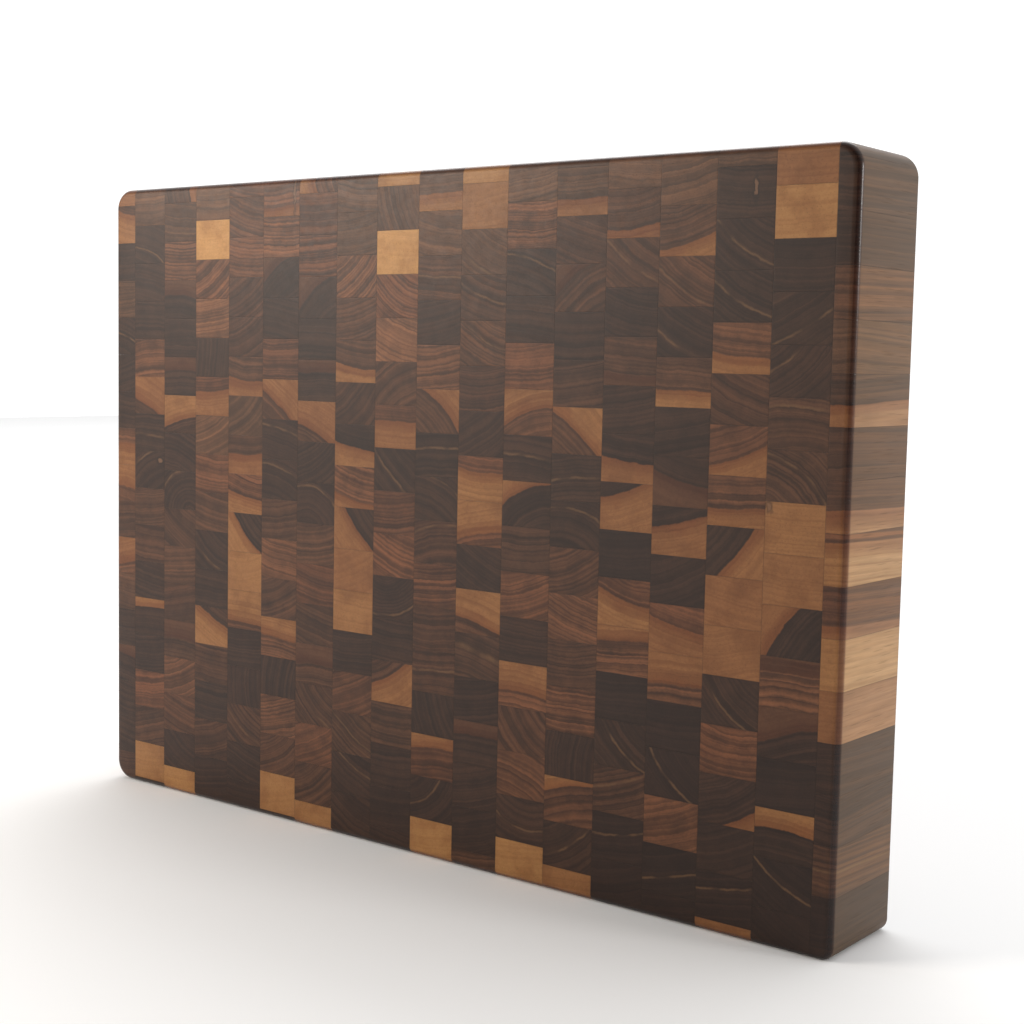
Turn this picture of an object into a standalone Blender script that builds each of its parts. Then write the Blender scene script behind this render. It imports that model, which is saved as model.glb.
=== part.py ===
"""End-grain walnut cutting board, standing upright on one of its long edges.

The board is made as a workshop makes it: planks are glued into a panel, the panel is cross-cut
into slices, and the slices are turned so that their end grain faces out and glued side by side.
Each slice is one upright strip here, a closed solid of its own, and a thin glue joint parts it
from the next. Nothing on the board moves.

Frame: +X along the board's length, +Y from the cutting face to the back, +Z up. The origin is at
the middle of the long edge that the board stands on.
"""

import math

import bmesh
import bpy

MM = 0.001

# Driving dimensions
LENGTH = 410.0 * MM
HEIGHT = 300.0 * MM
THICKNESS = 50.0 * MM
CORNER_RADIUS = 9.5 * MM
LOWER_RIGHT_CORNER_RADIUS = 5.0 * MM
EDGE_ROUNDOVER = 3.2 * MM
GLUE_JOINT = 0.3 * MM

# Width of each strip from left to right, in millimetres. The panels were planed to slightly
# different thicknesses, and the two outer strips were trimmed when the board was squared up.
STRIP_WIDTHS_MM = (
    15.3, 22.3, 23.0, 23.4, 23.2, 23.4, 23.9, 24.3, 24.2,
    24.2, 24.4, 25.2, 24.7, 24.8, 25.0, 25.0, 25.0, 8.7,
)

# How finely the round stretches are faceted
CORNER_SEGMENTS = 10
ROUNDOVER_SEGMENTS = 6
SMOOTH_ANGLE = math.radians(30.0)
CUT_TOLERANCE = 1.0e-6

# Oiled walnut: strips that are nearly all heartwood, and strips with wide bands of sapwood
HEARTWOOD = (0.105, 0.058, 0.036)
MIXED_WOOD = (0.185, 0.105, 0.060)
MIXED_STRIPS = (1, 5, 8, 15, 16, 17)
WOOD_ROUGHNESS = 0.46


def clear_scene():
    """Remove every object that the scene starts with."""
    for item in list(bpy.data.objects):
        bpy.data.objects.remove(item, do_unlink=True)


def board_corners():
    """Return the centre, radius and start angle of each corner arc, anticlockwise from top right."""
    half = LENGTH / 2
    radius = CORNER_RADIUS
    small = LOWER_RIGHT_CORNER_RADIUS
    return (
        (half - radius, HEIGHT - radius, radius, 0.0),
        (-half + radius, HEIGHT - radius, radius, math.pi / 2),
        (-half + radius, radius, radius, math.pi),
        (half - small, small, small, 1.5 * math.pi),
    )


def outline(inset):
    """Return the board's rounded outline in X and Z, moved inwards by inset."""
    points = []
    for centre_x, centre_z, radius, start in board_corners():
        for step in range(CORNER_SEGMENTS + 1):
            angle = start + (math.pi / 2) * step / CORNER_SEGMENTS
            reach = radius - inset
            points.append((centre_x + reach * math.cos(angle), centre_z + reach * math.sin(angle)))
    return points


def roundover_profile():
    """Return the inset and Y of each ring, from the cutting face round to the back face."""
    front = -THICKNESS / 2
    rings = []
    for step in range(ROUNDOVER_SEGMENTS + 1):
        angle = (math.pi / 2) * step / ROUNDOVER_SEGMENTS
        inset = EDGE_ROUNDOVER * (1.0 - math.sin(angle))
        depth = EDGE_ROUNDOVER * (1.0 - math.cos(angle))
        rings.append((inset, front + depth))
    back = [(inset, -depth_y) for inset, depth_y in reversed(rings)]
    return rings + back


def whole_board():
    """Return the board before it is divided: a rounded outline with all its edges rounded over."""
    board = bmesh.new()
    rings = []
    for inset, depth_y in roundover_profile():
        rings.append([board.verts.new((x, depth_y, z)) for x, z in outline(inset)])
    count = len(rings[0])
    for near, far in zip(rings, rings[1:]):
        for index in range(count):
            following = (index + 1) % count
            board.faces.new((near[index], near[following], far[following], far[index]))
    board.faces.new(rings[0])
    board.faces.new(list(reversed(rings[-1])))
    bmesh.ops.recalc_face_normals(board, faces=board.faces[:])
    return board


def cut_away(solid, x, keep_right):
    """Cut the solid square across at x, keep one side of it and close the cut with a flat face."""
    cut = bmesh.ops.bisect_plane(
        solid,
        geom=solid.verts[:] + solid.edges[:] + solid.faces[:],
        dist=CUT_TOLERANCE,
        plane_co=(x, 0.0, 0.0),
        plane_no=(1.0, 0.0, 0.0),
        clear_inner=keep_right,
        clear_outer=not keep_right,
    )
    rim = [item for item in cut["geom_cut"] if isinstance(item, bmesh.types.BMEdge)]
    bmesh.ops.holes_fill(solid, edges=rim, sides=0)


def wood_material(name, colour):
    """Return an oiled wood material."""
    material = bpy.data.materials.new(name)
    material.use_nodes = True
    shader = material.node_tree.nodes["Principled BSDF"]
    shader.inputs["Base Color"].default_value = (*colour, 1.0)
    shader.inputs["Roughness"].default_value = WOOD_ROUGHNESS
    shader.inputs["Metallic"].default_value = 0.0
    material.diffuse_color = (*colour, 1.0)
    return material


def make_strip(number, board, left, right, parent):
    """Make one strip: the part of the board between two glue joints."""
    solid = board.copy()
    if number > 1:
        left += GLUE_JOINT / 2
        cut_away(solid, left, keep_right=True)
    if number < len(STRIP_WIDTHS_MM):
        right -= GLUE_JOINT / 2
        cut_away(solid, right, keep_right=False)
    bmesh.ops.recalc_face_normals(solid, faces=solid.faces[:])
    middle = (left + right) / 2
    bmesh.ops.translate(solid, verts=solid.verts[:], vec=(-middle, 0.0, 0.0))
    name = f"strip_{number:02d}"
    mesh = bpy.data.meshes.new(name)
    solid.to_mesh(mesh)
    solid.free()
    mesh.shade_smooth()
    mesh.set_sharp_from_angle(angle=SMOOTH_ANGLE)
    colour = MIXED_WOOD if number in MIXED_STRIPS else HEARTWOOD
    mesh.materials.append(wood_material(f"{name}_wood", colour))
    strip = bpy.data.objects.new(name, mesh)
    strip.parent = parent
    strip.location = (middle, 0.0, 0.0)
    bpy.context.scene.collection.objects.link(strip)


def build_board():
    """Divide the whole board at its glue joints, one object for each strip."""
    clear_scene()
    parent = bpy.data.objects.new("cutting_board", None)
    bpy.context.scene.collection.objects.link(parent)
    board = whole_board()
    left = -LENGTH / 2
    for number, width in enumerate(STRIP_WIDTHS_MM, start=1):
        right = left + width * MM
        make_strip(number, board, left, right, parent)
        left = right
    board.free()


build_board()
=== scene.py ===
"""Looks of the end-grain walnut cutting board: every end-grain block is a piece of its own.

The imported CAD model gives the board's size and its strips. Each strip is divided here into the
blocks of plank that it is glued from. One wood material serves all of them. It is solid: growth
rings are cylinders round each block's pith and run through the board, so the faces show end grain
and the four edges show long grain. What differs from block to block is stored on its mesh.
"""

import math
import random
import re

import bmesh
import bpy
from mathutils import Euler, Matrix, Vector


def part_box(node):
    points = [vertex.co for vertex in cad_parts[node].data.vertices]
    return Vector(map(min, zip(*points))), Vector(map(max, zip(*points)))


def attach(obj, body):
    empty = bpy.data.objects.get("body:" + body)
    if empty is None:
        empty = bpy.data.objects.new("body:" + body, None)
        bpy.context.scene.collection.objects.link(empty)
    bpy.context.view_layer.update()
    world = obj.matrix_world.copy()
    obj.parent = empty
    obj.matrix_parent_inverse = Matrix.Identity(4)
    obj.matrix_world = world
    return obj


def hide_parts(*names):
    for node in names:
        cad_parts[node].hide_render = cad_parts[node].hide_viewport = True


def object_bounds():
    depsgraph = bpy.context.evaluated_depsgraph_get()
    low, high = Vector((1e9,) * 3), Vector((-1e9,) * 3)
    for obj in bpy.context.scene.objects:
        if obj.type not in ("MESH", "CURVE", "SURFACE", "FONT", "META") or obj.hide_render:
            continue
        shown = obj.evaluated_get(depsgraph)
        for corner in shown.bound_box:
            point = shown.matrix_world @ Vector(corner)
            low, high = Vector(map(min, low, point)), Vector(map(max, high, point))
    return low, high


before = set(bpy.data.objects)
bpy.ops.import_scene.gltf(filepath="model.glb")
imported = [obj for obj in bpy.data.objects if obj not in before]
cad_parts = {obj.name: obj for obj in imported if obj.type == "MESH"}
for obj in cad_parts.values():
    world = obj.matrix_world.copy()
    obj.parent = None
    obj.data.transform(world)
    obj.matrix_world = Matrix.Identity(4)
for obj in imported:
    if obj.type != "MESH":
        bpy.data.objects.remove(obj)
cad_box = [list(corner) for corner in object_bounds()]

MM = 0.001

# ---- the board, in the CAD's frame ----
BOARD_LOW, BOARD_HIGH = cad_box
CORNER_RADIUS = 9.5 * MM
LOWER_RIGHT_CORNER_RADIUS = 5.0 * MM
EDGE_ROUNDOVER = 3.2 * MM
CORNER_SEGMENTS = 20
ROUNDOVER_SEGMENTS = 10
GLUE_FILM = 0.03 * MM
CUT_TOLERANCE = 1.0e-7
SMOOTH_ANGLE = math.radians(30.0)

# A place that no block reaches, for a zone, ring, flaw or joint that a block doesn't have
NEVER = 10.0

# ---- the blocks ----
# One line for each strip, left to right: how far the first joint is below the top edge and how
# high a block is, both in millimetres, and then the blocks from top to bottom. A block reads
#   TONE ANGLE [/DISTANCE] [s|r OFFSET] [p|q OFFSET]
# TONE      N nearly black, D dark, B brown, G greyish, R reddish, Z reddish with strong stripes,
#           O light orange brown, S sapwood, W light sapwood, V the lightest sapwood
# ANGLE     direction of the pith from the block's middle, 0 to the right, 90 up, in degrees
# DISTANCE  how far off the pith is, in millimetres
# s, r      sapwood or reddish wood lies beyond this offset from the middle, away from the pith
# p, q      a narrow or a wide pale ring passes at this offset from the middle
STRIP_PLAN = (
    (8.0, 18.5, "S90 R80/80s-5 D90 G90 D250/60p+1 D100 D80 R90/200s-2 R262/120s-3 B95 R285/90s-4"
                " B85 D90 D265/90r+3 D85 D80 B90"),
    (18.2, 18.6, "G90 D252/50p-4 D260 D270 R272/90 B248/70s-4 D268/90p-1 D300/50p+7 B95 B85 D80"
                 " D272/200s+5 D95 R98/90 B100 W95 D90"),
    (8.0, 18.65, "B200/80s+6 G84/150p+6 Z90/160 D262/60r+2 D270 D270/200r+3 B286/90s-4 D255/60"
                 " D300/14p+8 B60/60 B95 B100 B268/90r+1 R110/60 R75/90 D60/40 W90"),
    (17.0, 18.67, "G90 V90 Z122/45 O100/80 D170/70 R95/150s-2 G115/50 R85/120 B80/90 D60/40p+6"
                  " D90 B65/80s-4 B85/100 D90 B105/80 D100 D90"),
    (7.2, 18.6, "R80/90 R75/90 R85/120 B120/50 B115/40 B80/90s+1 G125/45 B90/120s+0 Z80/90s+0"
                " D43/80s+0 S100/60 R265/120s-6 D90 D5/60 B60/60p+2 D75 D90"),
    (16.9, 18.7, "R92/120s+5 Z88/150 D300/40r+5 D262 R90/120 B236/90s-3 D262/100p+5 D255/40p+5"
                 " B100/80 R78/80 B110/60 R268/150s+1 D350/50 Z103/90 B120/35 W100 D90"),
    (7.3, 18.76, "R15/60s+4 R92/150 Z90/160 D305/45r+4 D268 D270/200r+3 B249/80s-5 D120/50"
                 " D248/16p+8 B100/80 R80/80 B75/80 B270/100r+1 B45/40p+2 R112/80 B120/40 W95"),
    (16.8, 18.8, "G80/100 G95/100 Z130/40 B105/60 B84/90s+3 B135/40 D82/80s+2 Z80/70s+5 D39/80s+0"
                 " S110/50 S90 D90 R110/70 B60/70p+1 D62/50p-3 D65/50"),
    (6.3, 19.0, "W90 G20/60 V90 Z60/35 O70/60 B300/35 R92/150s-3 D45/50p+3 R95/90 R70/60"
                " D105/22p+7 D90 B118/80s-4 B90/100 D95 D90 D85"),
    (17.9, 18.93, "G90/200s+3 G80/60 B85/90p+1 D100 R95/90 B228/45s+4 D272/120p+2 D250/40p+8"
                  " B282/80p+6 Z95/120 B92/90 B90/200p+0 D20/40 R272/150s+4 D125/30p-2 W95"),
    (7.3, 19.0, "W90 S95 G62/60p+6 B68/80p+0 B66/80p-1 B92/90 D120/60 R88/150s-3 R284/80s-5"
                " D60/60 R256/90s-4 B256/90q+1 D100 D274/150r+3 D105/80 D108/80 B100"),
    (16.1, 19.05, "G95 Z90/150 D250/60p+4 D265 R92/120 R284/60s-1 D265/100p+0 D300/28s+7 B95/90"
                  " R105/90 D90 R265/120s-3 B45/35 R250/60 D85/30p+2 W95"),
    (3.5, 19.07, "G90 G90/200s+4 B70/90 B305/50r+5 D90 B100/90 B233/90s+0 D275/120p+1 D255/30p+7"
                 " B115/50 R75/70 B95/90 Z90/150 D355/50 R282/90s+6 D118/35p+0 S95"),
    (12.9, 19.15, "G85 B98/60s+6 B60/80p+1 D75/60 B88/150r+5 D100 D82/90s+2 D104/90s-6 N95"
                  " R80/80s-2 Z275/150s+3 N90 D45/40p+1 B110/90p-2 N100/90p-1 N108/90"),
    (20.4, 19.2, "G100 B105/70s+6 B58/90p+3 D65/60p+7 B86/150s+4 D100 D75/60r+0 D105/90s-3"
                 " D110/60 R80/90s-2 Z275/200s-3 N95 N45/40p+3 R112/90 N105/90p+2 N100"),
    (7.0, 19.2, "G90 D90 D58/50p+1 D62/70p+2 R82/150s+2 B65/50 R112/70s+3 Z90/120s+4 D142/90s+2"
                " S80 S100 D50/35p+4 R88/60 D115/60s+7 D112/60 N100/90p-3 S95"),
    (14.8, 19.3, "S90 W92 D92 D120/60p+4 D130/50p-6 B268/60p+7 B235/40p+2 S90 S85 D326/90s+4"
                 " Z272/200r+4 D285/90r+0 N95 D268/60s+3 N60/60p+0 N60/60"),
    (5.5, 19.3, "D90 D88 D92 B90 G95 B90/300s+1 B92 B90/300s+2 Z90/300s-6 R90/300s+6 S90 S92 D95"
                " D85 B90/200p+1 N95 N90"),
)
BLOCK_WORD = re.compile(r"([NDBGRZOSWV])(\d+)(?:/(\d+))?(?:([sr])([+-]\d+))?(?:([pq])([+-]\d+))?$")
USUAL_PITH_DISTANCE = 140.0
NARROW_PALE_RING = 0.8 * MM
WIDE_PALE_RING = 2.4 * MM
CHANCE_SEED = 7

# How light the sapwood of a tone is, from 0 to 1. The other tones share one value
SAP_LIGHTNESS = {"W": 0.45, "V": 1.0}
USUAL_SAP_LIGHTNESS = 0.15

# Lightness, redness and ring contrast of each tone, from 0 to 1
TONES = {
    "N": (0.01, 0.40, 0.40),
    "D": (0.045, 0.45, 0.60),
    "B": (0.15, 0.60, 0.75),
    "G": (0.25, 0.30, 0.65),
    "R": (0.26, 0.80, 0.80),
    "Z": (0.30, 0.80, 1.00),
    "O": (0.50, 0.60, 0.80),
    "S": (0.30, 0.60, 0.50),
    "W": (0.30, 0.50, 0.40),
    "V": (0.30, 0.50, 0.30),
}

# Small flaws: strip, block, place across the strip and up the block from its middle, width and
# height, all in millimetres
FLAWS = (
    (6, 1, 8.6, 1.0, 0.55, 7.5),
    (16, 2, 4.0, 1.5, 0.8, 3.4),
    (2, 8, 8.0, 5.0, 1.8, 1.2),
    (17, 8, -11.0, 7.5, 0.9, 1.6),
)


# ---- geometry ----
def board_corners():
    """Return each corner arc's centre, radius and start angle, anticlockwise from top right."""
    right = BOARD_HIGH[0]
    left = BOARD_LOW[0]
    top = BOARD_HIGH[2]
    bottom = BOARD_LOW[2]
    radius = CORNER_RADIUS
    small = LOWER_RIGHT_CORNER_RADIUS
    return (
        (right - radius, top - radius, radius, 0.0),
        (left + radius, top - radius, radius, math.pi / 2),
        (left + radius, bottom + radius, radius, math.pi),
        (right - small, bottom + small, small, 1.5 * math.pi),
    )


def outline(inset):
    """Return the board's rounded outline in X and Z, moved inwards by inset."""
    points = []
    for centre_x, centre_z, radius, start in board_corners():
        for step in range(CORNER_SEGMENTS + 1):
            angle = start + (math.pi / 2) * step / CORNER_SEGMENTS
            reach = radius - inset
            points.append((centre_x + reach * math.cos(angle), centre_z + reach * math.sin(angle)))
    return points


def whole_board():
    """Return the board in one piece, with all its edges rounded over."""
    board = bmesh.new()
    profile = []
    for step in range(ROUNDOVER_SEGMENTS + 1):
        angle = (math.pi / 2) * step / ROUNDOVER_SEGMENTS
        inset = EDGE_ROUNDOVER * (1.0 - math.sin(angle))
        depth = EDGE_ROUNDOVER * (1.0 - math.cos(angle))
        profile.append((inset, BOARD_LOW[1] + depth))
    profile += [(inset, BOARD_HIGH[1] + BOARD_LOW[1] - y) for inset, y in reversed(profile)]
    rings = [[board.verts.new((x, y, z)) for x, z in outline(inset)] for inset, y in profile]
    count = len(rings[0])
    for near, far in zip(rings, rings[1:]):
        for index in range(count):
            following = (index + 1) % count
            board.faces.new((near[index], near[following], far[following], far[index]))
    board.faces.new(rings[0])
    board.faces.new(list(reversed(rings[-1])))
    bmesh.ops.recalc_face_normals(board, faces=board.faces[:])
    return board


def keep_between(solid, axis, low, high):
    """Cut the solid square across at low and at high along an axis, and keep what lies between."""
    for place, keeps_above in ((low, True), (high, False)):
        if place is None:
            continue
        point = [0.0, 0.0, 0.0]
        point[axis] = place
        normal = [0.0, 0.0, 0.0]
        normal[axis] = 1.0
        cut = bmesh.ops.bisect_plane(
            solid,
            geom=solid.verts[:] + solid.edges[:] + solid.faces[:],
            dist=CUT_TOLERANCE,
            plane_co=point,
            plane_no=normal,
            clear_inner=keeps_above,
            clear_outer=not keeps_above,
        )
        rim = [item for item in cut["geom_cut"] if isinstance(item, bmesh.types.BMEdge)]
        bmesh.ops.holes_fill(solid, edges=rim, sides=0)


# ---- the wood material ----
class Graph:
    """Short names for making shader nodes and linking them."""

    def __init__(self, material):
        material.use_nodes = True
        self.tree = material.node_tree
        self.shader = self.tree.nodes["Principled BSDF"]

    def feed(self, socket, value):
        if isinstance(value, bpy.types.NodeSocket):
            self.tree.links.new(value, socket)
        else:
            socket.default_value = value

    def math(self, operation, first, second=0.0):
        node = self.tree.nodes.new("ShaderNodeMath")
        node.operation = operation
        self.feed(node.inputs[0], first)
        self.feed(node.inputs[1], second)
        return node.outputs[0]

    def rest(self, share):
        """What a share leaves of one."""
        return self.math("SUBTRACT", 1.0, share)

    def vector(self, operation, first, second=(0.0, 0.0, 0.0)):
        node = self.tree.nodes.new("ShaderNodeVectorMath")
        node.operation = operation
        self.feed(node.inputs[0], first)
        self.feed(node.inputs[1], second)
        return node.outputs["Value"] if operation == "LENGTH" else node.outputs["Vector"]

    def attribute(self, name):
        node = self.tree.nodes.new("ShaderNodeAttribute")
        node.attribute_type = "GEOMETRY"
        node.attribute_name = name
        return node

    def split(self, vector):
        node = self.tree.nodes.new("ShaderNodeSeparateXYZ")
        self.feed(node.inputs[0], vector)
        return node.outputs[0], node.outputs[1], node.outputs[2]

    def join(self, x, y, z):
        node = self.tree.nodes.new("ShaderNodeCombineXYZ")
        for socket, value in zip(node.inputs, (x, y, z)):
            self.feed(socket, value)
        return node.outputs[0]

    def noise(self, place, scale, detail=2.0, roughness=0.5):
        node = self.tree.nodes.new("ShaderNodeTexNoise")
        self.feed(node.inputs["Vector"], place)
        node.inputs["Scale"].default_value = scale
        node.inputs["Detail"].default_value = detail
        node.inputs["Roughness"].default_value = roughness
        return node.outputs["Fac"]

    def spread(self, value, low, high, to_low=0.0, to_high=1.0, smooth=True):
        node = self.tree.nodes.new("ShaderNodeMapRange")
        node.interpolation_type = "SMOOTHSTEP" if smooth else "LINEAR"
        for socket, item in zip(node.inputs, (value, low, high, to_low, to_high)):
            self.feed(socket, item)
        return node.outputs[0]

    def blend(self, share, first, second, mode="MIX"):
        node = self.tree.nodes.new("ShaderNodeMix")
        node.data_type = "RGBA"
        node.blend_type = mode
        self.feed(node.inputs["Factor"], share)
        self.feed(node.inputs[6], first)
        self.feed(node.inputs[7], second)
        return node.outputs[2]

    def tint(self, colour, factors):
        """A colour with each of its channels multiplied."""
        return self.blend(1.0, colour, (*factors, 1.0), "MULTIPLY")


def pith_distance(g, across_x, across_z, fibre_place):
    """Distance from the pith, with the wander that real rings have."""
    radius = g.vector("LENGTH", g.join(across_x, 0.0, across_z))
    wander = g.math("SUBTRACT", g.noise(fibre_place, 55.0, 2.0), 0.5)
    ripple = g.math("SUBTRACT", g.noise(fibre_place, 260.0, 2.0), 0.5)
    radius = g.math("ADD", radius, g.math("MULTIPLY", wander, 3.0 * MM))
    ragged = g.math("SUBTRACT", g.noise(fibre_place, 850.0, 2.0, 0.6), 0.5)
    radius = g.math("ADD", radius, g.math("MULTIPLY", ripple, 1.0 * MM))
    return g.math("ADD", radius, g.math("MULTIPLY", ragged, 0.55 * MM))


def growth_rings(g, radius, ring_width, seed):
    """How late in its year the wood is, and how strong a ring is there.

    Light early wood darkens to a line of late wood. There are wide and narrow years.
    """
    years = g.math("DIVIDE", radius, ring_width)
    slow = g.noise(g.join(g.math("MULTIPLY", years, 0.35), 0.0, seed), 1.0, 1.0)
    years = g.math("ADD", years, g.math("MULTIPLY", slow, 2.6))
    part_of_year = g.math("FRACT", years)
    late = g.spread(part_of_year, 0.25, 0.93)
    after = g.spread(part_of_year, 0.95, 1.0)
    late = g.math("MULTIPLY", late, g.rest(after))
    year_number = g.math("FLOOR", years)
    year_noise = g.tree.nodes.new("ShaderNodeTexWhiteNoise")
    year_noise.noise_dimensions = "1D"
    g.feed(year_noise.inputs["W"], g.math("ADD", year_number, g.split(seed)[0]))
    year_strength = g.spread(year_noise.outputs["Value"], 0.0, 1.0, 0.35, 1.0, smooth=False)
    return late, g.math("MULTIPLY", late, year_strength)


def heartwood(g, tone, ring, bands, fibre_place):
    """Heartwood from nearly black to a light brown, more grey or more red, and its darkest form."""
    lightness, redness, contrast = tone
    grey_heart = g.blend(lightness, (0.017, 0.0095, 0.0065, 1.0), (0.225, 0.120, 0.058, 1.0))
    red_heart = g.blend(lightness, (0.019, 0.0080, 0.0050, 1.0), (0.260, 0.102, 0.042, 1.0))
    heart = g.blend(redness, grey_heart, red_heart)
    heart_dark = g.tint(heart, (0.44, 0.40, 0.39))
    heart_light = g.tint(heart, (2.30, 2.00, 1.75))
    patches = g.noise(fibre_place, 140.0, 3.0, 0.6)
    banding = g.math("ADD", bands, g.math("MULTIPLY", g.math("SUBTRACT", patches, 0.5), 0.30))
    banding = g.spread(banding, 0.32, 0.70)
    banding = g.math("ADD", 0.5, g.math("MULTIPLY", g.math("SUBTRACT", banding, 0.5), contrast))
    heart = g.blend(banding, heart_dark, heart_light)
    heart = g.blend(g.math("MULTIPLY", ring, g.math("MULTIPLY", contrast, 0.85)), heart, heart_dark)
    return heart, heart_dark


def outer_wood(g, is_reddish, sap_light, contrast, ring, bands, beyond, fibre_place):
    """Sapwood, or the reddish wood next to it, stained where it borders on the heartwood."""
    sapwood = g.blend(sap_light, (0.205, 0.080, 0.027, 1.0), (0.500, 0.255, 0.082, 1.0))
    reddish = g.blend(sap_light, (0.085, 0.034, 0.015, 1.0), (0.140, 0.058, 0.026, 1.0))
    outer = g.blend(is_reddish, sapwood, reddish)
    outer_dark = g.tint(outer, (0.60, 0.50, 0.42))
    sap_rings = g.math("MULTIPLY", g.math("MULTIPLY", ring, 0.70), contrast)
    outer = g.blend(sap_rings, outer, outer_dark)
    sap_bands = g.spread(bands, 0.25, 0.55, 0.95, 0.0)
    outer = g.blend(g.math("MULTIPLY", sap_bands, contrast), outer, outer_dark)
    cloud = g.noise(fibre_place, 75.0, 3.0, 0.55)
    outer = g.blend(g.spread(cloud, 0.42, 0.72, 0.0, 0.60), outer, outer_dark)
    stained = g.tint(outer, (0.62, 0.45, 0.36))
    stain = g.math("ADD", beyond, g.math("MULTIPLY", g.math("SUBTRACT", cloud, 0.5), 12.0 * MM))
    return g.blend(g.spread(stain, 0.5 * MM, 6.0 * MM, 0.75, 0.0), outer, stained)


def add_flaw(g, colour, x, z, fibre_place):
    """Add a flaw, such as a filled crack or a pin knot: a pale core in a dark rim."""
    flaw_x, _, flaw_z = g.split(g.attribute("flaw_place").outputs["Vector"])
    flaw_wide, _, flaw_high = g.split(g.attribute("flaw_size").outputs["Vector"])
    jag = g.math("MULTIPLY", g.math("SUBTRACT", g.noise(fibre_place, 420.0, 2.0), 0.5), 2.6 * MM)
    flaw_dx = g.math("DIVIDE", g.math("ADD", g.math("SUBTRACT", x, flaw_x), jag), flaw_wide)
    flaw_dz = g.math("DIVIDE", g.math("SUBTRACT", g.math("SUBTRACT", z, flaw_z), jag), flaw_high)
    flaw = g.vector("LENGTH", g.join(flaw_dx, 0.0, flaw_dz))
    flaw_rim = g.rest(g.spread(flaw, 1.0, 2.4))
    colour = g.blend(g.math("MULTIPLY", flaw_rim, 0.55), colour, (0.012, 0.006, 0.004, 1.0))
    flaw_core = g.rest(g.spread(flaw, 0.65, 1.05))
    return g.blend(g.math("MULTIPLY", flaw_core, 0.65), colour, (0.190, 0.095, 0.050, 1.0))


def glue_joint(g, x, z):
    """Strength of the glue joint: a hair-fine line along each side of a block."""
    low_x, _, low_z = g.split(g.attribute("joint_low").outputs["Vector"])
    high_x, _, high_z = g.split(g.attribute("joint_high").outputs["Vector"])
    to_side = g.math("MINIMUM", g.math("SUBTRACT", x, low_x), g.math("SUBTRACT", high_x, x))
    to_end = g.math("MINIMUM", g.math("SUBTRACT", z, low_z), g.math("SUBTRACT", high_z, z))
    to_joint = g.math("MINIMUM", to_side, to_end)
    return g.rest(g.spread(to_joint, 0.05 * MM, 0.30 * MM))


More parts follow.
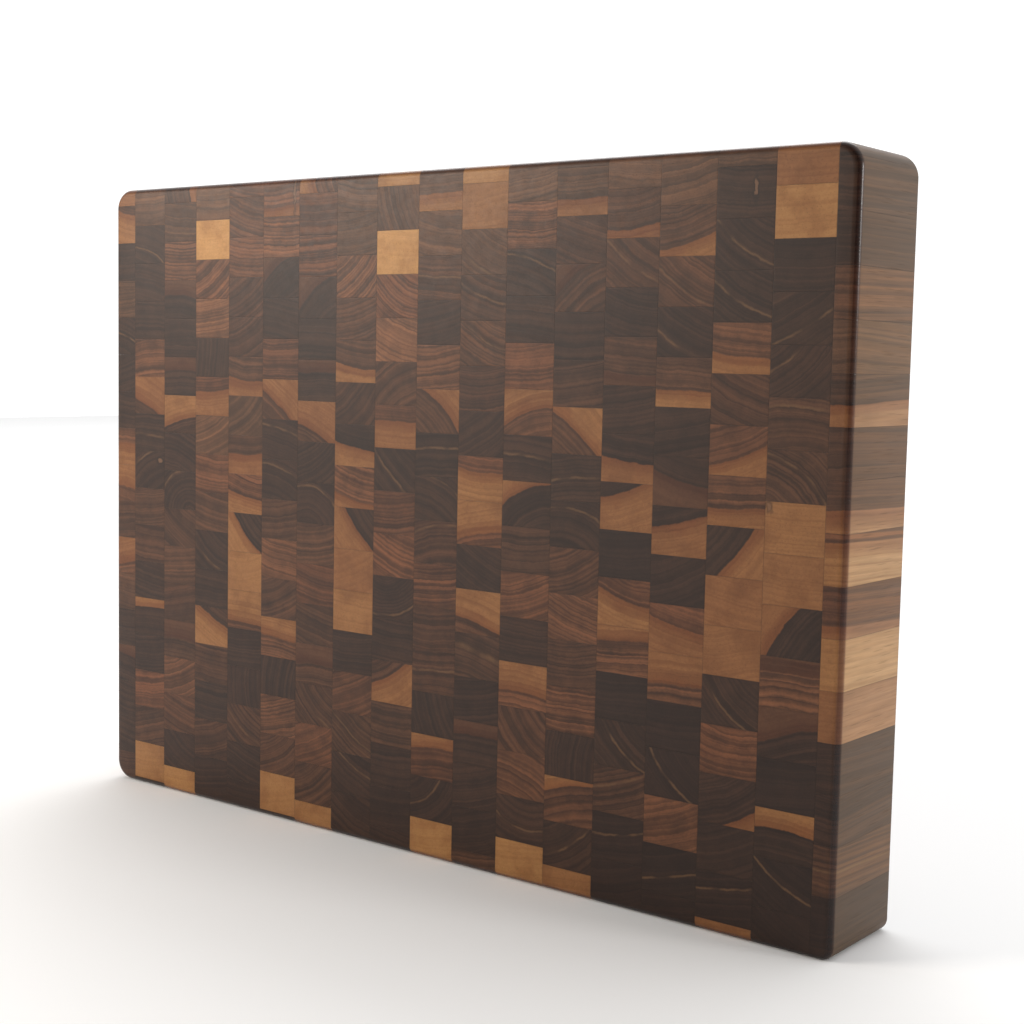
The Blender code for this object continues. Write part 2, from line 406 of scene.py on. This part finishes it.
def wood_material():
    """Oiled black walnut, from what each block's mesh says about its own piece of plank."""
    material = bpy.data.materials.new("oiled_walnut")
    g = Graph(material)

    coordinates = g.tree.nodes.new("ShaderNodeTexCoord").outputs["Object"]
    seed = g.attribute("seed").outputs["Vector"]
    pith = g.attribute("pith").outputs["Vector"]
    lean = g.attribute("lean").outputs["Vector"]
    tone = g.split(g.attribute("tone").outputs["Vector"])
    _, redness, contrast = tone
    sap_radius, pale_radius, pale_width = g.split(g.attribute("zones").outputs["Vector"])
    is_reddish, sap_light, ring_width = g.split(g.attribute("character").outputs["Vector"])
    end_grain = g.attribute("end_grain").outputs["Fac"]

    # Place across the fibres, measured from the pith, which leans a little through the board
    x, y, z = g.split(coordinates)
    pith_x, _, pith_z = g.split(pith)
    lean_x, _, lean_z = g.split(lean)
    across_x = g.math("SUBTRACT", g.math("SUBTRACT", x, pith_x), g.math("MULTIPLY", y, lean_x))
    across_z = g.math("SUBTRACT", g.math("SUBTRACT", z, pith_z), g.math("MULTIPLY", y, lean_z))
    fibre_place = g.vector("ADD", g.join(across_x, g.math("MULTIPLY", y, 0.06), across_z), seed)

    # Rings, and slower bands of lighter and darker wood
    radius = pith_distance(g, across_x, across_z, fibre_place)
    late, ring = growth_rings(g, radius, ring_width, seed)
    bands = g.noise(g.join(g.math("MULTIPLY", radius, 330.0), 0.0, seed), 1.0, 4.0, 0.72)

    # Heartwood, with a dark rim where sapwood or reddish wood begins
    heart, heart_dark = heartwood(g, tone, ring, bands, fibre_place)
    beyond = g.math("SUBTRACT", radius, sap_radius)
    outer = outer_wood(g, is_reddish, sap_light, contrast, ring, bands, beyond, fibre_place)
    in_sap = g.spread(beyond, -0.25 * MM, 0.35 * MM)
    off_rim = g.math("ABSOLUTE", g.math("ADD", beyond, 0.7 * MM))
    rim = g.rest(g.spread(off_rim, 0.0, 1.1 * MM))
    heart = g.blend(g.math("MULTIPLY", rim, 0.45), heart, heart_dark)
    colour = g.blend(in_sap, heart, outer)

    # One pale ring
    off_pale = g.math("ABSOLUTE", g.math("SUBTRACT", radius, pale_radius))
    pale = g.rest(g.spread(g.math("DIVIDE", off_pale, pale_width), 0.0, 1.0))
    broken = g.spread(g.noise(fibre_place, 120.0, 1.0), 0.35, 0.60, 0.15, 0.95)
    pale = g.math("MULTIPLY", pale, broken)
    pale_wood = g.blend(redness, (0.100, 0.054, 0.024, 1.0), (0.130, 0.056, 0.023, 1.0))
    colour = g.blend(pale, colour, pale_wood)

    # Pores: dark specks on the end grain, fine dashes along the edges
    pore_place = g.vector("ADD", g.join(x, g.math("MULTIPLY", y, 0.045), z), seed)
    pores = g.tree.nodes.new("ShaderNodeTexVoronoi")
    pores.feature = "F1"
    g.feed(pores.inputs["Vector"], pore_place)
    pores.inputs["Scale"].default_value = 1150.0
    pore = g.rest(g.spread(pores.outputs["Distance"], 0.10, 0.34))
    early = g.rest(g.math("MULTIPLY", late, 0.6))
    pore = g.math("MULTIPLY", pore, early)
    colour = g.blend(g.math("MULTIPLY", pore, 0.30), colour, (0.008, 0.004, 0.003, 1.0))

    # Fibre streaks that show mostly where the grain runs along the surface
    streak_place = g.vector("ADD", g.join(across_x, g.math("MULTIPLY", y, 0.03), across_z), seed)
    streaks = g.noise(streak_place, 750.0, 3.0, 0.6)
    long_grain = g.rest(g.spread(end_grain, 0.10, 0.60))
    streak_strength = g.math("ADD", 0.22, g.math("MULTIPLY", long_grain, 0.22))
    streak_light = g.tint(colour, (1.22, 1.20, 1.18))
    streak_dark = g.tint(colour, (0.74, 0.72, 0.70))
    streaked = g.blend(g.spread(streaks, 0.32, 0.68), streak_dark, streak_light)
    colour = g.blend(streak_strength, colour, streaked)

    # Blotches where the end grain took up more oil
    blotches = g.noise(g.vector("ADD", coordinates, seed), 38.0, 3.0, 0.55)
    darker = g.tint(colour, (0.80, 0.79, 0.79))
    colour = g.blend(g.spread(blotches, 0.42, 0.72, 0.0, 0.55), colour, darker)

    # Long grain takes up less oil and stays lighter and yellower
    less_oil = g.blend(in_sap, (1.75, 1.85, 1.50, 1.0), (1.70, 2.20, 3.00, 1.0))
    lighter = g.blend(1.0, colour, less_oil, "MULTIPLY")
    long_wood = g.blend(0.14, lighter, (0.30, 0.205, 0.115, 1.0))
    colour = g.blend(long_grain, colour, long_wood)

    # The roundover between face and edge is coloured darker and purplish
    rounded = g.spread(end_grain, 0.80, 0.97, 1.0, 0.0)
    rounded = g.math("MULTIPLY", rounded, g.spread(end_grain, 0.04, 0.40))
    roundover_darker = g.tint(colour, (0.54, 0.43, 0.46))
    colour = g.blend(g.math("MULTIPLY", rounded, 0.85), colour, roundover_darker)

    colour = add_flaw(g, colour, x, z, fibre_place)

    # The glue joint shows as a dark line
    joint = glue_joint(g, x, z)
    colour = g.blend(g.math("MULTIPLY", joint, 0.26), colour, (0.010, 0.005, 0.003, 1.0))

    g.feed(g.shader.inputs["Base Color"], colour)

    # Oiled surface: satin, rougher in the pores and where the oil has sunk in
    roughness = g.spread(g.noise(fibre_place, 300.0, 2.0), 0.25, 0.75, 0.43, 0.50, smooth=False)
    roughness = g.math("ADD", roughness, g.math("MULTIPLY", pore, 0.10))
    roughness = g.math("ADD", roughness, g.math("MULTIPLY", long_grain, 0.05))
    roughness = g.math("SUBTRACT", roughness, g.math("MULTIPLY", rounded, 0.27))
    g.feed(g.shader.inputs["Roughness"], roughness)
    g.shader.inputs["Specular IOR Level"].default_value = 0.31
    g.shader.inputs["Metallic"].default_value = 0.0

    relief = g.math("MULTIPLY", pore, -0.5)
    relief = g.math("ADD", relief, g.math("MULTIPLY", streaks, 0.45))
    relief = g.math("ADD", relief, g.math("MULTIPLY", ring, 0.35))
    relief = g.math("SUBTRACT", relief, g.math("MULTIPLY", joint, 0.8))
    bump = g.tree.nodes.new("ShaderNodeBump")
    bump.inputs["Strength"].default_value = 0.16
    bump.inputs["Distance"].default_value = 0.12 * MM
    g.feed(bump.inputs["Height"], relief)
    g.feed(g.shader.inputs["Normal"], bump.outputs["Normal"])
    return material


# ---- the blocks ----
def write_vector(mesh, name, value):
    """Store one vector on every vertex of a mesh."""
    attribute = mesh.attributes.new(name, "FLOAT_VECTOR", "POINT")
    attribute.data.foreach_set("vector", list(value) * len(mesh.vertices))


def write_end_grain(mesh):
    """Store how far each vertex faces along the fibres: 1 on the two faces, 0 on the edges."""
    attribute = mesh.attributes.new("end_grain", "FLOAT", "CORNER")
    values = [abs(corner.vector[1]) for corner in mesh.corner_normals]
    attribute.data.foreach_set("value", values)


def describe_block(mesh, word, middle, joints, chance):
    """Write on a block's mesh what its piece of plank is like, from its word in the plan."""
    tone, angle, distance, zone, zone_at, pale, pale_at = BLOCK_WORD.match(word).groups()
    lightness, redness, contrast = TONES[tone]
    distance = float(distance or USUAL_PITH_DISTANCE) * MM
    turn = math.radians(float(angle) + chance.uniform(-3.0, 3.0))
    pith = (middle[0] + distance * math.cos(turn), 0.0, middle[1] + distance * math.sin(turn))
    lean = (chance.uniform(-0.04, 0.04), 0.0, chance.uniform(-0.05, 0.05))
    sap_radius = NEVER
    if tone in "SWV":
        sap_radius = -NEVER
    if zone:
        sap_radius = distance + float(zone_at) * MM
    pale_radius = NEVER
    if pale:
        pale_radius = distance + float(pale_at) * MM
    pale_width = WIDE_PALE_RING if pale == "q" else NARROW_PALE_RING
    is_reddish = 1.0 if zone == "r" else 0.0
    sap_light = SAP_LIGHTNESS.get(tone, USUAL_SAP_LIGHTNESS)
    ring_width = chance.uniform(1.5, 3.2) * MM
    write_vector(mesh, "pith", pith)
    write_vector(mesh, "lean", lean)
    lightness *= chance.uniform(0.75, 1.30)
    redness *= chance.uniform(0.80, 1.15)
    write_vector(mesh, "tone", (lightness, redness, contrast))
    write_vector(mesh, "zones", (sap_radius, pale_radius, pale_width))
    sap_light = max(sap_light + chance.uniform(-0.12, 0.12), 0.0)
    write_vector(mesh, "character", (is_reddish, sap_light, ring_width))
    write_vector(mesh, "seed", [chance.uniform(0.0, 9.0) for _ in range(3)])
    write_vector(mesh, "joint_low", (joints[0], 0.0, joints[2]))
    write_vector(mesh, "joint_high", (joints[1], 0.0, joints[3]))


def write_flaw(mesh, strip, block, middle):
    """Store where a block's flaw is and how large. A block without one has it far away."""
    place = (NEVER, 0.0, NEVER)
    size = (MM, 0.0, MM)
    for at_strip, at_block, right, up, width, height in FLAWS:
        if (at_strip, at_block) == (strip, block):
            place = (middle[0] + right * MM, 0.0, middle[1] + up * MM)
            size = (width * MM, 0.0, height * MM)
    write_vector(mesh, "flaw_place", place)
    write_vector(mesh, "flaw_size", size)


def make_block(solid, strip, block, material):
    """Turn a finished solid into a piece that rides on the board and stands for its strip."""
    name = f"strip_{strip:02d}_block_{block:02d}"
    mesh = bpy.data.meshes.new(name)
    bmesh.ops.recalc_face_normals(solid, faces=solid.faces[:])
    solid.to_mesh(mesh)
    solid.free()
    mesh.shade_smooth()
    mesh.set_sharp_from_angle(angle=SMOOTH_ANGLE)
    mesh.materials.append(material)
    piece = bpy.data.objects.new(name, mesh)
    bpy.context.scene.collection.objects.link(piece)
    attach(piece, "root")
    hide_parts(f"strip_{strip:02d}")
    return piece


def strip_joints():
    """Return where the strips meet: halfway between each two neighbouring CAD strips."""
    count = len(STRIP_PLAN)
    boxes = [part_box(f"strip_{number:02d}") for number in range(1, count + 1)]
    joints = [BOARD_LOW[0]]
    for left, right in zip(boxes, boxes[1:]):
        joints.append((left[1][0] + right[0][0]) / 2)
    joints.append(BOARD_HIGH[0])
    return joints


def make_blocks(material):
    """Divide the board into its strips and each strip into its blocks."""
    chance = random.Random(CHANCE_SEED)
    board = whole_board()
    joints = strip_joints()
    half = GLUE_FILM / 2
    for strip, (first_joint, block_height, words) in enumerate(STRIP_PLAN, start=1):
        left = joints[strip - 1]
        right = joints[strip]
        is_first = strip == 1
        is_last = strip == len(STRIP_PLAN)
        slab = board.copy()
        keep_between(slab, 0, None if is_first else left + half, None if is_last else right - half)
        top = BOARD_HIGH[2]
        words = words.split()
        for block, word in enumerate(words, start=1):
            at_bottom = block == len(words)
            bottom = BOARD_LOW[2]
            if not at_bottom:
                bottom = BOARD_HIGH[2] - (first_joint + block_height * (block - 1)) * MM
            solid = slab.copy()
            low = None if at_bottom else bottom + half
            high = None if block == 1 else top - half
            keep_between(solid, 2, low, high)
            piece = make_block(solid, strip, block, material)
            full_middle = top - block_height * MM / 2
            if block == 1:
                full_middle = bottom + block_height * MM / 2
            middle = ((left + right) / 2, full_middle)
            edges = (
                -NEVER if is_first else left,
                NEVER if is_last else right,
                -NEVER if at_bottom else bottom,
                NEVER if block == 1 else top,
            )
            describe_block(piece.data, word, middle, edges, chance)
            write_flaw(piece.data, strip, block, middle)
            write_end_grain(piece.data)
            top = bottom
        slab.free()
    board.free()


# ---- camera, floor and light ----
# Fitted to the board's outline and glue lines in the photo. Turns in degrees, lens in millimetres
CAMERA_PLACE = (0.47619, -0.57047, 0.22062)
CAMERA_TURNS = (84.70, -1.18, 37.99)
CAMERA_LENS = 58.56
SENSOR_WIDTH = 36.0
NEAREST_SEEN = 0.01

# How far the floor runs each way, and its grey
FLOOR_REACH = 4.0
FLOOR_GREY = 0.92

# Where the room's brightness changes between front and back, and how bright it is in each
ROOM_LIGHT = (-0.65, 0.35, 0.16, 1.20)

# Name, place, target, size, power and colour of each lamp
LAMPS = (
    ("key", (-0.76, -0.80, 0.56), (-0.08, 0.0, 0.22), 0.5, 9.4, (1.0, 0.93, 0.85)),
    ("side_fill", (1.5, 0.35, 0.5), (0.2, 0.0, 0.2), 0.32, 4.6, (1.0, 0.98, 0.96)),
    ("floor_light", (-1.2, 2.4, 2.6), (-1.2, 2.6, 0.0), 3.0, 60.0, (1.0, 1.0, 1.0)),
)


def make_camera():
    """Stand to the right of the board, a little below its top edge, and look at its middle."""
    data = bpy.data.cameras.new("camera")
    data.lens = CAMERA_LENS
    data.sensor_width = SENSOR_WIDTH
    data.dof.use_dof = False
    data.clip_start = NEAREST_SEEN
    camera = bpy.data.objects.new("camera", data)
    camera.location = CAMERA_PLACE
    camera.rotation_euler = Euler([math.radians(turn) for turn in CAMERA_TURNS], "XYZ")
    bpy.context.scene.collection.objects.link(camera)
    bpy.context.scene.camera = camera


def make_floor():
    """A plain pale floor that runs on well behind the board."""
    mesh = bpy.data.meshes.new("floor")
    reach = FLOOR_REACH
    mesh.from_pydata(
        [(-reach, -reach, 0.0), (reach, -reach, 0.0), (reach, reach, 0.0), (-reach, reach, 0.0)],
        [],
        [(0, 1, 2, 3)],
    )
    material = bpy.data.materials.new("pale_floor")
    material.use_nodes = True
    shader = material.node_tree.nodes["Principled BSDF"]
    shader.inputs["Base Color"].default_value = (FLOOR_GREY, FLOOR_GREY, FLOOR_GREY, 1.0)
    shader.inputs["Roughness"].default_value = 0.9
    shader.inputs["Specular IOR Level"].default_value = 0.1
    mesh.materials.append(material)
    floor = bpy.data.objects.new("floor", mesh)
    bpy.context.scene.collection.objects.link(floor)


def make_area_light(name, place, target, size, power, colour):
    """A soft square light that faces its target."""
    data = bpy.data.lights.new(name, "AREA")
    data.shape = "SQUARE"
    data.size = size
    data.energy = power
    data.color = colour
    light = bpy.data.objects.new(name, data)
    light.location = place
    direction = [goal - start for goal, start in zip(target, place)]
    yaw = math.atan2(direction[1], direction[0]) - math.pi / 2
    level = math.hypot(direction[0], direction[1])
    light.rotation_euler = (math.pi / 2 + math.atan2(direction[2], level), 0.0, yaw)
    bpy.context.scene.collection.objects.link(light)


def make_light():
    """Soft studio light: a room that is pale behind the board and dim in front of it, a large
    light at the upper left that puts a sheen on the face, a fill at the right, and a wide light
    that keeps the floor white far behind the board."""
    world = bpy.data.worlds.new("pale_room")
    world.use_nodes = True
    tree = world.node_tree
    coordinates = tree.nodes.new("ShaderNodeTexCoord")
    parts = tree.nodes.new("ShaderNodeSeparateXYZ")
    level = tree.nodes.new("ShaderNodeMapRange")
    level.interpolation_type = "SMOOTHSTEP"
    for socket, value in zip(level.inputs[1:], ROOM_LIGHT):
        socket.default_value = value
    tree.links.new(coordinates.outputs["Generated"], parts.inputs[0])
    tree.links.new(parts.outputs[1], level.inputs[0])
    tree.links.new(level.outputs[0], tree.nodes["Background"].inputs["Strength"])
    tree.nodes["Background"].inputs["Color"].default_value = (1.0, 1.0, 1.0, 1.0)
    bpy.context.scene.world = world
    for lamp in LAMPS:
        make_area_light(*lamp)


bpy.context.scene.view_settings.view_transform = "Standard"
make_camera()
make_floor()
make_light()
make_blocks(wood_material())
